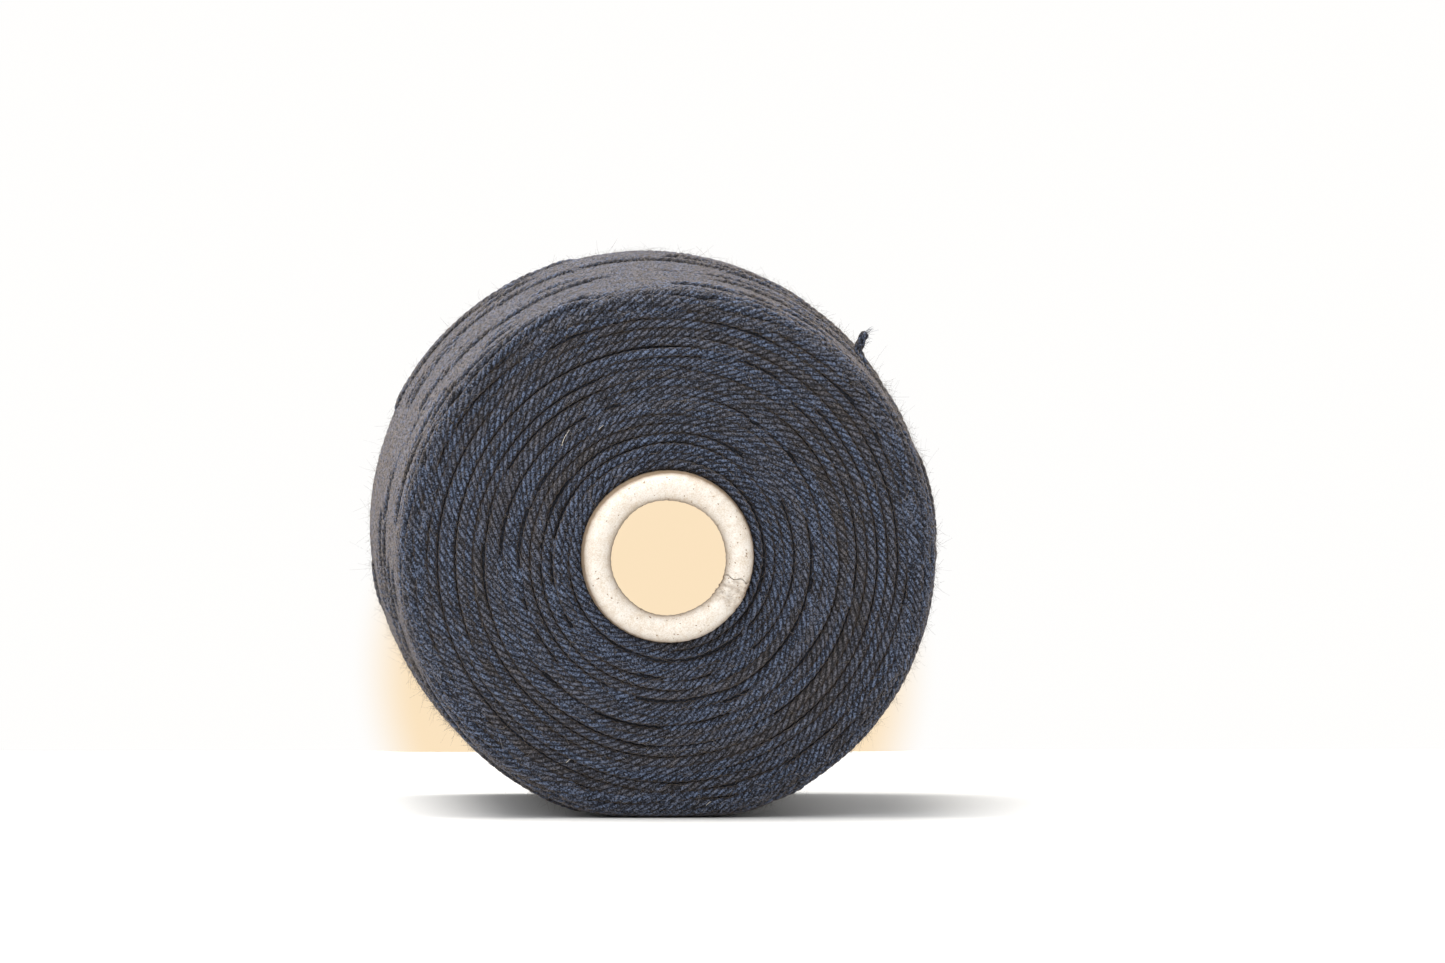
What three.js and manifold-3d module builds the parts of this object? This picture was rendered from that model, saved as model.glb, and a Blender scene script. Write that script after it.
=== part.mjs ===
// A cone of plied wool yarn: a rolled-nose paper cone and the yarn cross-wound on it.
// It lies on its side on z = 0. Its axis runs from the nose, towards -Y, to the base,
// towards +Y, and the base end stands a little higher because the package is tapered.
// Millimetres, +Z up, origin under the middle of the object's box.

import * as THREE from "three";
import { mergeVertices } from "three/addons/utils/BufferGeometryUtils.js";
import Module from "manifold-3d";

const wasm = await Module();
wasm.setup();

// ---- Driving dimensions -------------------------------------------------------------

const CONE_LENGTH = 170; // nose tip to base rim, along the axis
const CONE_HALF_ANGLE = THREE.MathUtils.degToRad(3.5); // the 3 deg 30 min textile cone
const NOSE_RADIUS = 17; // outside, where the wall meets the rolled nose
const BEAD_RADIUS = 2.75; // half the width of the rolled nose's lip
const BEAD_TURN = THREE.MathUtils.degToRad(225); // how far the wall is rolled in

const PLY_THICKNESS = 0.55;
const GLUE_LINE = 0.05; // paste between two plies
const SEAM_WIDTH = 0.8; // where the outer wrap's two edges almost meet
const SEAM_ANGLE = THREE.MathUtils.degToRad(-17); // round the axis, from +X towards up

const NOSE_EXPOSED = 8; // bare cone in front of the winding
const BASE_EXPOSED = 10; // bare cone behind it
const WINDING_NOSE_RADIUS = 55; // at the crown of the nose-end shoulder
const WINDING_BASE_RADIUS = 61; // at the crown of the base-end shoulder
const SHOULDER_RADIUS = 4.5; // rounding between a face and the side
const FACE_DOME = 2.5; // how much an end face stands out at the core
const WINDING_GAP = 0.1; // between the cone's wall and the first layer

const YARN_DIAMETER = 2.2;
const REST_TILT = THREE.MathUtils.degToRad(2.55); // of the axis, lying on its side
const NOSE_CROWN_HEIGHT = 53.1; // of the axis, above the floor, at the nose-end crown

const START_TURNS = 2.4; // the yarn's first turns, on the bare base of the cone
const START_PITCH = 2.45;
const START_GAP = 0.3; // between the cone's wall and the first turns
const END_PLACE = 62; // along the axis, where the loose end comes out
const END_ANGLE = THREE.MathUtils.degToRad(44.3); // round the axis, from +X towards up
const END_LIFT = 0.3; // between the winding and the loose end's root

const ROUND_STEPS = 48; // facets round the axis
const NOSE_STEPS = 8; // facets round the rolled nose
const SHOULDER_STEPS = 4; // facets round a shoulder

// ---- Materials ----------------------------------------------------------------------

function matte(colour, roughness) {
  return new THREE.MeshStandardMaterial({ color: colour, roughness, metalness: 0 });
}

const liningPaper = matte(0xb59670, 0.9);
const greyBoard = matte(0x9c8a72, 0.95);
const glazedPaper = matte(0xe6d6bf, 0.55);
const charcoalYarn = matte(0x3a3e47, 0.95);

// ---- Helpers ------------------------------------------------------------------------

// A lathe turned round +Y from a closed outline of (radius, place along the axis) points.
function turned(outline) {
  const closed = [...outline, outline[0].clone()];
  return new THREE.LatheGeometry(closed, ROUND_STEPS);
}

// The mesh as a manifold-3d solid, in the frame of its parent.
function solidOf(geometry, matrix = new THREE.Matrix4()) {
  const bare = geometry.clone().applyMatrix4(matrix);
  bare.deleteAttribute("normal");
  bare.deleteAttribute("uv");
  const merged = mergeVertices(bare, 1e-4);
  return new wasm.Manifold(
    new wasm.Mesh({
      numProp: 3,
      vertProperties: merged.attributes.position.array,
      triVerts: new Uint32Array(merged.index.array),
    }),
  );
}

function geometryOf(solid) {
  const mesh = solid.getMesh();
  const geometry = new THREE.BufferGeometry();
  geometry.setAttribute("position", new THREE.BufferAttribute(mesh.vertProperties, 3));
  geometry.setIndex(new THREE.BufferAttribute(mesh.triVerts, 1));
  geometry.computeVertexNormals();
  return geometry;
}

function named(name, geometry, material) {
  const mesh = new THREE.Mesh(geometry, material);
  mesh.name = name;
  return mesh;
}

// A bar of the yarn's diameter, with eight sides, along a curve.
function yarnAlong(curve, steps) {
  const section = new THREE.Shape().absarc(0, 0, YARN_DIAMETER / 2, 0, 2 * Math.PI);
  return new THREE.ExtrudeGeometry(section, {
    steps,
    curveSegments: 4,
    extrudePath: curve,
    bevelEnabled: false,
  });
}

// ---- The paper cone -----------------------------------------------------------------

// The centre of the rolled nose's section, and the outer wall's radius along the cone.
const beadCentre = new THREE.Vector2(NOSE_RADIUS - BEAD_RADIUS, BEAD_RADIUS);
const wallNormal = new THREE.Vector2(Math.cos(CONE_HALF_ANGLE), -Math.sin(CONE_HALF_ANGLE));
const wallAlong = new THREE.Vector2(Math.sin(CONE_HALF_ANGLE), Math.cos(CONE_HALF_ANGLE));

// The point of the surface that lies `inset` under the cone's outer wall, at `place`.
function wallPoint(inset, place) {
  const start = beadCentre.clone().addScaledVector(wallNormal, BEAD_RADIUS - inset);
  return start.addScaledVector(wallAlong, (place - start.y) / wallAlong.y);
}

// Points round the rolled nose at one depth, from the wall over the tip to the inside.
function rolledNose(inset) {
  const points = [];
  for (let i = 0; i <= NOSE_STEPS; i++) {
    const turn = -CONE_HALF_ANGLE - (BEAD_TURN * i) / NOSE_STEPS;
    const arm = new THREE.Vector2(Math.cos(turn), Math.sin(turn));
    points.push(beadCentre.clone().addScaledVector(arm, BEAD_RADIUS - inset));
  }
  return points;
}

// One ply: it follows the wall from the base rim to the nose, and rolls in with it.
function plyGeometry(number) {
  const outside = number * (PLY_THICKNESS + GLUE_LINE);
  const inside = outside + PLY_THICKNESS;
  return turned([
    ...rolledNose(outside).reverse(),
    wallPoint(outside, CONE_LENGTH),
    wallPoint(inside, CONE_LENGTH),
    ...rolledNose(inside),
  ]);
}

// The outer wrap is cut along the cone where its two edges almost meet.
function outerWrapGeometry() {
  const reach = NOSE_RADIUS + CONE_LENGTH * Math.tan(CONE_HALF_ANGLE);
  const slot = new THREE.BoxGeometry(reach, 2 * CONE_LENGTH, SEAM_WIDTH);
  slot.translate(reach / 2, 0, 0);
  const turn = new THREE.Matrix4().makeRotationY(-SEAM_ANGLE);
  return geometryOf(solidOf(plyGeometry(0)).subtract(solidOf(slot, turn)));
}

// ---- The winding --------------------------------------------------------------------

const WINDING_START = NOSE_EXPOSED;
const WINDING_END = CONE_LENGTH - BASE_EXPOSED;
const NOSE_CROWN = WINDING_START + FACE_DOME + SHOULDER_RADIUS;
const BASE_CROWN = WINDING_END - FACE_DOME - SHOULDER_RADIUS;

function windingRadius(place) {
  const share = (place - NOSE_CROWN) / (BASE_CROWN - NOSE_CROWN);
  return THREE.MathUtils.lerp(WINDING_NOSE_RADIUS, WINDING_BASE_RADIUS, share);
}

// A quarter round from the end face to the side, or back if `towards` is -1.
function shoulder(crownRadius, crownPlace, towards) {
  const points = [];
  for (let i = 0; i <= SHOULDER_STEPS; i++) {
    const turn = (Math.PI / 2) * (1 - i / SHOULDER_STEPS);
    points.push(
      new THREE.Vector2(
        crownRadius - SHOULDER_RADIUS * (1 - Math.cos(turn)),
        crownPlace - towards * SHOULDER_RADIUS * Math.sin(turn),
      ),
    );
  }
  return towards > 0 ? points : points.reverse();
}

// The winding as wound, round the cone's axis.
function windingGeometry() {
  return turned([
    wallPoint(-WINDING_GAP, WINDING_END),
    wallPoint(-WINDING_GAP, WINDING_START),
    ...shoulder(WINDING_NOSE_RADIUS, NOSE_CROWN, 1),
    ...shoulder(WINDING_BASE_RADIUS, BASE_CROWN, -1),
  ]);
}

// ---- Lying on its side --------------------------------------------------------------

const lying = new THREE.Group();
lying.rotation.x = REST_TILT;
lying.position.z = NOSE_CROWN_HEIGHT - NOSE_CROWN * Math.sin(REST_TILT);
lying.updateMatrixWorld(true);

// The soft package is flat where its weight presses it on the floor.
function settledWindingGeometry() {
  const wide = 4 * WINDING_BASE_RADIUS;
  const floor = new THREE.BoxGeometry(wide, 4 * CONE_LENGTH, wide);
  floor.translate(0, 0, -wide / 2);
  const onFloor = lying.matrixWorld.clone().invert();
  return geometryOf(solidOf(windingGeometry()).subtract(solidOf(floor, onFloor)));
}

lying.add(named("core_outer_wrap", outerWrapGeometry(), glazedPaper));
lying.add(named("core_board_ply_1", plyGeometry(1), greyBoard));
lying.add(named("core_board_ply_2", plyGeometry(2), greyBoard));
lying.add(named("core_inner_liner", plyGeometry(3), liningPaper));
lying.add(named("yarn_winding", settledWindingGeometry(), charcoalYarn));

// ---- The yarn's two ends ------------------------------------------------------------

// The first turns, side by side on the bare base of the cone.
class StartTurns extends THREE.Curve {
  getPoint(share, target = new THREE.Vector3()) {
    const turn = 2 * Math.PI * START_TURNS * share;
    const first = WINDING_END + FACE_DOME;
    const place = first + START_PITCH * START_TURNS * share;
    const radius = wallPoint(-START_GAP - YARN_DIAMETER / 2, place).x;
    return target.set(radius * Math.cos(turn), place, radius * Math.sin(turn));
  }
}

lying.add(named("yarn_start_turns", yarnAlong(new StartTurns(), 76), charcoalYarn));

// The cut end, standing up out of the side with its tip bent over. Each row is a step
// from the root, outwards in the cone's cross-section: sideways, then up.
function looseEndGeometry() {
  const out = windingRadius(END_PLACE) + END_LIFT + YARN_DIAMETER / 2;
  const root = [out * Math.cos(END_ANGLE), out * Math.sin(END_ANGLE)];
  const rises = [
    [0, 0],
    [0.4, 1.0],
    [0.8, 2.1],
    [1.2, 3.1],
    [2.1, 3.7],
  ];
  const places = rises.map(
    ([side, up]) => new THREE.Vector3(root[0] + side, END_PLACE, root[1] + up),
  );
  return yarnAlong(new THREE.CatmullRomCurve3(places), 12);
}

lying.add(named("yarn_end", looseEndGeometry(), charcoalYarn));

// ---- The part's frame ---------------------------------------------------------------

// The origin is under the middle of the box, so the whole group moves along Y.
const part = new THREE.Group();
part.add(lying);
const box = new THREE.Box3().setFromObject(part, true);
lying.position.y -= (box.min.y + box.max.y) / 2;

export default part;
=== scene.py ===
# %% [markdown]
# # A cone of plied wool yarn
# The object is a tapered package of soft, four-ply wool on a paper cone. It lies on its side.
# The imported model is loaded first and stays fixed. Everything here is placed around it, in
# metres, and the working sizes are kept in millimetres because yarn is easier to read so.

# %% Load the frame
import math

import bpy
import numpy as np
from mathutils import Matrix, Vector, noise


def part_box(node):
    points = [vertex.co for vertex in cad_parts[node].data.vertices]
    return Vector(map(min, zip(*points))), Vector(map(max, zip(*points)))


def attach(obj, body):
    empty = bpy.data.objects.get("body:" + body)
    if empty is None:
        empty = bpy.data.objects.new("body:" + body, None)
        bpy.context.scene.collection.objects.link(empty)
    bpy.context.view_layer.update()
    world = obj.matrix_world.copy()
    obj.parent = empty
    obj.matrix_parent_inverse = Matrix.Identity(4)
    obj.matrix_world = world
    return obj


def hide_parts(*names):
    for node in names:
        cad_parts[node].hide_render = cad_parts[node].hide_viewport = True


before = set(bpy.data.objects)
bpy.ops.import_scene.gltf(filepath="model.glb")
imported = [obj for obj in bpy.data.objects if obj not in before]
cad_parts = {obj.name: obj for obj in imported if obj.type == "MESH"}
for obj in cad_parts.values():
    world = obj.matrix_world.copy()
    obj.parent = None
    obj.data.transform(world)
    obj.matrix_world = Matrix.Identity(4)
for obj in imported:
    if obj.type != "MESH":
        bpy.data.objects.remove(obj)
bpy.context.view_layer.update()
MM = 0.001
rng = np.random.default_rng(35)

# %% [markdown]
# ## The cone's own frame
# The cone's axis rises towards its base, because the package is thicker there and lies on
# its side. All round shapes are worked out in the cone's frame: x to the right, y along the
# axis from the nose, z up. One function then puts points where the frame has the cone.

# %% Cone sizes and the way to world space
CONE_LENGTH = 170.0
CONE_HALF_ANGLE = math.radians(3.5)
NOSE_RADIUS = 17.0
BEAD_RADIUS = 2.75
AXIS_TILT = math.radians(2.55)


def wall_radius(place, inset=0.0):
    """Radius of the surface `inset` under the cone's outside, at a place along the axis."""
    arm = BEAD_RADIUS - inset
    start = NOSE_RADIUS - BEAD_RADIUS + arm * math.cos(CONE_HALF_ANGLE)
    first = BEAD_RADIUS - arm * math.sin(CONE_HALF_ANGLE)
    return start + (place - first) * math.tan(CONE_HALF_ANGLE)


_, wrap_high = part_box("core_outer_wrap")
rim_radius = wall_radius(CONE_LENGTH)
nose_y = wrap_high[1] / MM - CONE_LENGTH * math.cos(AXIS_TILT) - rim_radius * math.sin(AXIS_TILT)
nose_z = wrap_high[2] / MM - CONE_LENGTH * math.sin(AXIS_TILT) - rim_radius * math.cos(AXIS_TILT)
TURN = np.array(
    [
        [1, 0, 0],
        [0, math.cos(AXIS_TILT), -math.sin(AXIS_TILT)],
        [0, math.sin(AXIS_TILT), math.cos(AXIS_TILT)],
    ]
)
NOSE = np.array([0.0, nose_y, nose_z])


def to_world(points):
    """Points of the cone's frame, in millimetres, as metres in the shared frame."""
    return (np.asarray(points) @ TURN.T + NOSE) * MM


def round_points(radius, place, angle):
    """Points of the cone's frame, from a radius and angle round the axis and a place along it."""
    parts = np.broadcast_arrays(radius * np.cos(angle), place, radius * np.sin(angle))
    return np.stack(parts, axis=-1)


def unit(vectors):
    """The same directions, each with length 1."""
    return vectors / np.linalg.norm(vectors, axis=-1, keepdims=True)


print("nose tip at", NOSE.round(2), "mm")

# %% [markdown]
# ## Camera
# A long lens looks nearly straight at the nose from a metre and a half away, from a little
# above the table's surface and a little to the left.

# %% Place the camera
CAMERA_DISTANCE = 1500.0
LENS_MM, SENSOR_MM = 186.85, 36.0
CAMERA_YAW, CAMERA_PITCH = math.radians(2.4), math.radians(0.4)
NOSE_IN_VIEW = (-10.7, -15.4)

forward = Vector(
    (
        math.sin(CAMERA_YAW) * math.cos(CAMERA_PITCH),
        math.cos(CAMERA_YAW) * math.cos(CAMERA_PITCH),
        math.sin(CAMERA_PITCH),
    )
)
right = forward.cross(Vector((0, 0, 1))).normalized()
up = right.cross(forward)
eye = Vector(NOSE) - right * NOSE_IN_VIEW[0] - up * NOSE_IN_VIEW[1] - forward * CAMERA_DISTANCE
camera = bpy.data.objects.new("camera", bpy.data.cameras.new("camera"))
camera.data.sensor_width = SENSOR_MM
camera.data.lens = LENS_MM
camera.data.clip_end = 100
camera.matrix_world = Matrix.Translation(eye * MM) @ Matrix((right, up, -forward)).transposed().to_4x4()
bpy.context.collection.objects.link(camera)
bpy.context.scene.camera = camera
print("camera at", [round(v) for v in eye], "mm")

# %% [markdown]
# ## Stage and light
# The set is bright and plain: a white table, a white surround and one broad soft light
# from above. The white surround does most of the work, as a light tent does.

# %% Floor and lamps
def set_inputs(node, values):
    """Sets a node's own sockets from a dictionary of names and values."""
    for name, value in values.items():
        node.inputs[name].default_value = value


def stage_plane(name, low, high, colour):
    """A plain flat sheet between two opposite corners. It is not part of the object."""
    a, b = Vector(low), Vector(high)
    corner = Vector((b.x, a.y, a.z))
    other = Vector((a.x, b.y, b.z))
    mesh = bpy.data.meshes.new(name)
    mesh.from_pydata([a, corner, b, other], [], [(0, 1, 2, 3)])
    sheet = bpy.data.objects.new(name, mesh)
    bpy.context.collection.objects.link(sheet)
    paint = bpy.data.materials.new(name)
    paint.use_nodes = True
    set_inputs(paint.node_tree.nodes["Principled BSDF"], {"Base Color": (*colour, 1), "Roughness": 0.9})
    sheet.data.materials.append(paint)
    return sheet


def soft_lamp(name, place, aim, size, watts, colour):
    """A square area lamp at `place`, turned towards `aim`, both in metres."""
    lamp = bpy.data.objects.new(name, bpy.data.lights.new(name, "AREA"))
    lamp.data.size = size
    lamp.data.energy = watts
    lamp.data.color = colour
    lamp.location = place
    lamp.rotation_euler = (Vector(aim) - Vector(place)).to_track_quat("-Z", "Y").to_euler()
    bpy.context.collection.objects.link(lamp)
    return lamp


TABLE_WHITE = (0.68, 0.68, 0.675)
TABLE_END, BACKDROP_Y = 0.40, 0.39
OVERHEAD_WATTS, FILL_WATTS = 22, 9

stage_plane("table", (-3, -3, 0), (3, TABLE_END, 0), TABLE_WHITE)
glow = stage_plane("warm_backdrop", (-0.09, BACKDROP_Y, -0.07), (0.11, BACKDROP_Y, 0.12), (0, 0, 0))
soft_lamp("overhead", (-0.25, 0.1, 1.1), (0, 0, 0.05), 0.9, OVERHEAD_WATTS, (1.0, 0.97, 0.93))
soft_lamp("front_fill", (-0.5, -1.4, 0.7), (0, 0, 0.06), 0.8, FILL_WATTS, (0.93, 0.96, 1.0))
print("lamps:", OVERHEAD_WATTS, "W above,", FILL_WATTS, "W in front")

# %% [markdown]
# ## What shows through the cone
# One looks straight through the bore, so what stands behind it decides the colour there. A
# lit wall would change with the lamps. A sheet that gives its own warm light stays an even
# cream, and its edge fades out so that no border shows beside the object.

# %% A warm disc with a soft edge
GLOW_MIDDLE = (0.010, BACKDROP_Y, 0.022)
GLOW_SOLID, GLOW_GONE = 0.060, 0.078
GLOW_COLOUR = (0.97, 0.775, 0.53, 1)

tree = glow.data.materials[0].node_tree
shader = tree.nodes["Principled BSDF"]
set_inputs(shader, {"Specular IOR Level": 0, "Emission Color": GLOW_COLOUR, "Emission Strength": 1.0})
where = tree.nodes.new("ShaderNodeTexCoord")
far_off = tree.nodes.new("ShaderNodeVectorMath")
far_off.operation = "DISTANCE"
far_off.inputs[1].default_value = GLOW_MIDDLE
tree.links.new(where.outputs["Object"], far_off.inputs[0])
fade = tree.nodes.new("ShaderNodeMapRange")
fade.interpolation_type = "SMOOTHSTEP"
set_inputs(fade, {"From Min": GLOW_SOLID, "From Max": GLOW_GONE, "To Min": 1.0, "To Max": 0.0})
tree.links.new(far_off.outputs["Value"], fade.inputs["Value"])
tree.links.new(fade.outputs["Result"], shader.inputs["Alpha"])
print("glow fades out from", GLOW_SOLID, "to", GLOW_GONE, "m")

# %% [markdown]
# ## The surround
# A plain bright world stands for the walls of a light tent, and lights the object evenly
# from all sides. The plain view transform keeps white things white.

# %% World light
world = bpy.data.worlds.new("surround")
world.use_nodes = True
set_inputs(world.node_tree.nodes["Background"], {"Color": (1.0, 0.995, 0.985, 1), "Strength": 1.0})
bpy.context.scene.world = world
bpy.context.scene.view_settings.view_transform = "Standard"
print("surround:", world.name)

# %% [markdown]
# ## Shader groups
# Yarn, its loose fibres and its cut end share one heathered-wool group. The paper plies
# share one mottled-paper group. Each group gives colours and heights only, and each
# material keeps its own shader.

# %% Group helpers
def new_group(name, colours):
    """A shader group that reads Tone, Place and these colours, and gives Color and Height."""
    tree = bpy.data.node_groups.new(name, "ShaderNodeTree")
    for label in ("Tone", "Place"):
        tree.interface.new_socket(label, in_out="INPUT", socket_type="NodeSocketVector")
    for label, colour in colours.items():
        socket = tree.interface.new_socket(label, in_out="INPUT", socket_type="NodeSocketColor")
        socket.default_value = colour
    tree.interface.new_socket("Color", in_out="OUTPUT", socket_type="NodeSocketColor")
    tree.interface.new_socket("Height", in_out="OUTPUT", socket_type="NodeSocketFloat")
    return tree, tree.nodes.new("NodeGroupInput"), tree.nodes.new("NodeGroupOutput")


def noise_node(tree, vector, scale, detail=3.0, roughness=0.55):
    """A noise texture read at `vector`, `scale` bumps to the metre."""
    node = tree.nodes.new("ShaderNodeTexNoise")
    set_inputs(node, {"Scale": scale, "Detail": detail, "Roughness": roughness})
    tree.links.new(vector, node.inputs["Vector"])
    return node.outputs["Fac"]


def ramp_node(tree, value, stops):
    """A colour ramp with (position, colour) stops."""
    node = tree.nodes.new("ShaderNodeValToRGB")
    elements = node.color_ramp.elements
    while len(elements) < len(stops):
        elements.new(0.5)
    for element, (position, colour) in zip(elements, stops):
        element.position = position
        element.color = (*colour, 1)
    tree.links.new(value, node.inputs["Fac"])
    return node.outputs["Color"]


def mix_node(tree, factor, a, b, mode="MIX"):
    """A colour mix; factor, a and b are sockets, or plain values."""
    node = tree.nodes.new("ShaderNodeMix")
    node.data_type = "RGBA"
    node.blend_type = mode
    for key, value in (("Factor", factor), ("A", a), ("B", b)):
        socket = [s for s in node.inputs if s.name == key and s.enabled][0]
        if isinstance(value, bpy.types.NodeSocket):
            tree.links.new(value, socket)
        else:
            socket.default_value = value
    return [s for s in node.outputs if s.enabled][0]


def math_node(tree, kind, a, b, clamp=False):
    """A maths node on two sockets or numbers."""
    node = tree.nodes.new("ShaderNodeMath")
    node.operation = kind
    node.use_clamp = clamp
    for socket, value in zip(node.inputs, (a, b)):
        if isinstance(value, bpy.types.NodeSocket):
            tree.links.new(value, socket)
        else:
            socket.default_value = value
    return node.outputs[0]


# %% [markdown]
# ## Heathered wool
# Each ply is spun from fibres of several colours, so its colour drifts along its length and
# single fibres show as flecks. A printed pattern would repeat. Here the drift comes with the
# mesh, as a tone vector, and a fine noise adds the flecks. In the vector x is how light the
# fibres are, y how brown, and z how far out of the valley between two plies the point is.
# The group paints shade from z: the valleys and the strand's flanks are darkened as shade.

# %% Group: heathered wool
WOOL_FLECKS_PER_METRE, WOOL_FIBRES_PER_METRE = 2600, 9000
FLECK_CONTRAST = 7.0
DARK_WARM = (0.012, 0.011, 0.012, 1)
VALLEY_SHADE = (0.09, 0.09, 0.105, 1)
WHITE = (1, 1, 1, 1)

wool_tree, wool_in, wool_out = new_group(
    "heathered wool",
    {
        "Navy": (0.004, 0.006, 0.013, 1),
        "Slate": (0.132, 0.172, 0.268, 1),
        "Brown": (0.118, 0.112, 0.124, 1),
    },
)
split = wool_tree.nodes.new("ShaderNodeSeparateXYZ")
wool_tree.links.new(wool_in.outputs["Tone"], split.inputs[0])
flecks = noise_node(wool_tree, wool_in.outputs["Place"], WOOL_FLECKS_PER_METRE, 3.0, 0.75)
fibres = noise_node(wool_tree, wool_in.outputs["Place"], WOOL_FIBRES_PER_METRE, 2.0, 0.6)
lightness = math_node(
    wool_tree,
    "ADD",
    split.outputs["X"],
    math_node(wool_tree, "MULTIPLY", math_node(wool_tree, "SUBTRACT", flecks, 0.5), FLECK_CONTRAST),
    clamp=True,
)
blue = mix_node(wool_tree, lightness, wool_in.outputs["Navy"], wool_in.outputs["Slate"])
warm = mix_node(wool_tree, lightness, DARK_WARM, wool_in.outputs["Brown"])
heather = mix_node(wool_tree, split.outputs["Y"], blue, warm)
# Painted shade: where z is low, in the ply valleys and on the flanks, the colour is darkened towards
# VALLEY_SHADE.
valley = mix_node(wool_tree, split.outputs["Z"], VALLEY_SHADE, WHITE)
shaded = mix_node(wool_tree, 1.0, heather, valley, "MULTIPLY")
wool_tree.links.new(shaded, wool_out.inputs["Color"])
wool_tree.links.new(fibres, wool_out.inputs["Height"])
print("wool group:", len(wool_tree.nodes), "nodes")

# %% [markdown]
# ## Mottled paper
# Cone paper is made from mixed pulp. It is cloudy from afar and grainy up close, with a few
# dark specks. One coarse and one fine noise make the cloud and the grain. In its tone
# vector x is how far the surface is turned to the side, where painted shade darkens and browns
# it, standing for less light and the dark yarn's reflection there, and y is how torn it is.

# %% Group: mottled paper
CLOUD_PER_METRE, PULP_PER_METRE, SPECKS_PER_METRE = 420, 3400, 1500
CLOUD_SHARE, PULP_SHARE = 0.35, 0.65
SIDE_SHADE_BROWN = (0.46, 0.37, 0.28, 1)
BLACK_STOP, WHITE_STOP = (0, 0, 0), (1, 1, 1)

paper_tree, paper_in, paper_out = new_group(
    "mottled paper",
    {
        "Light": (0.67, 0.625, 0.57, 1),
        "Dark": (0.52, 0.43, 0.33, 1),
        "Speck": (0.20, 0.12, 0.06, 1),
    },
)
cloud = noise_node(paper_tree, paper_in.outputs["Place"], CLOUD_PER_METRE, 4.0, 0.6)
pulp = noise_node(paper_tree, paper_in.outputs["Place"], PULP_PER_METRE, 3.0, 0.65)
dots = noise_node(paper_tree, paper_in.outputs["Place"], SPECKS_PER_METRE, 1.0, 0.4)
mottle = math_node(
    paper_tree,
    "ADD",
    math_node(paper_tree, "MULTIPLY", cloud, CLOUD_SHARE),
    math_node(paper_tree, "MULTIPLY", pulp, PULP_SHARE),
)
shade = ramp_node(paper_tree, mottle, [(0.36, BLACK_STOP), (0.56, WHITE_STOP)])
ground = mix_node(paper_tree, shade, paper_in.outputs["Dark"], paper_in.outputs["Light"])
speck = ramp_node(paper_tree, dots, [(0.70, BLACK_STOP), (0.76, WHITE_STOP)])
spotted = mix_node(paper_tree, speck, ground, paper_in.outputs["Speck"])
# Painted shade and painted reflection of the dark yarn: x darkens surfaces turned to the side towards a
# brown. y is real tearing.
shade_and_tear = paper_tree.nodes.new("ShaderNodeSeparateXYZ")
paper_tree.links.new(paper_in.outputs["Tone"], shade_and_tear.inputs[0])
edge = math_node(paper_tree, "POWER", shade_and_tear.outputs["X"], 1.5)
side_shade_colour = mix_node(paper_tree, edge, WHITE, SIDE_SHADE_BROWN)
side_shaded_paper = mix_node(paper_tree, 1.0, spotted, side_shade_colour, "MULTIPLY")
torn = mix_node(paper_tree, shade_and_tear.outputs["Y"], side_shaded_paper, paper_in.outputs["Speck"])
paper_tree.links.new(torn, paper_out.inputs["Color"])
paper_tree.links.new(pulp, paper_out.inputs["Height"])
print("paper group:", len(paper_tree.nodes), "nodes")

# %% [markdown]
# ## The finishes
# Wool is rough, with a faint warm sheen where stray fibres catch the light. The wrap is
# calendered, that is, pressed smooth between rollers, so it is the only surface with some
# gloss. The boards and the liner are the same paper in plainer, browner colours.

# %% A material made from a group
def grouped_material(name, group, values, roughness, bump, bump_mm, toned=True):
    """A material whose colour and bump come from a group. Returns it and its shader."""
    made = bpy.data.materials.new(name)
    made.use_nodes = True
    tree = made.node_tree
    shader = tree.nodes["Principled BSDF"]
    effect = tree.nodes.new("ShaderNodeGroup")
    effect.node_tree = group
    set_inputs(effect, values)
    place = tree.nodes.new("ShaderNodeTexCoord")
    tree.links.new(place.outputs["Object"], effect.inputs["Place"])
    if toned:
        reader = tree.nodes.new("ShaderNodeAttribute")
        reader.attribute_name = "tone"
        tree.links.new(reader.outputs["Vector"], effect.inputs["Tone"])
    lift = tree.nodes.new("ShaderNodeBump")
    set_inputs(lift, {"Strength": bump, "Distance": bump_mm * MM})
    tree.links.new(effect.outputs["Height"], lift.inputs["Height"])
    tree.links.new(effect.outputs["Color"], shader.inputs["Base Color"])
    tree.links.new(lift.outputs["Normal"], shader.inputs["Normal"])
    set_inputs(shader, {"Roughness": roughness})
    return made, shader


# %% Wool finishes
wool, wool_shader = grouped_material("heather wool yarn", wool_tree, {}, 0.85, 0.7, 0.12)
set_inputs(wool_shader, {"Specular IOR Level": 0.25, "Sheen Weight": 0.27, "Sheen Roughness": 0.45})
set_inputs(wool_shader, {"Sheen Tint": (0.86, 0.68, 0.53, 1)})
pale_wool = {"Slate": (0.26, 0.24, 0.23, 1), "Brown": (0.29, 0.23, 0.18, 1)}
fuzz, fuzz_shader = grouped_material("loose wool fibres", wool_tree, pale_wool, 0.7, 0.2, 0.02)
set_inputs(fuzz_shader, {"Sheen Weight": 0.3, "Sheen Tint": (0.85, 0.78, 0.72, 1)})
print("wool finishes:", wool.name, "and", fuzz.name)

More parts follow.
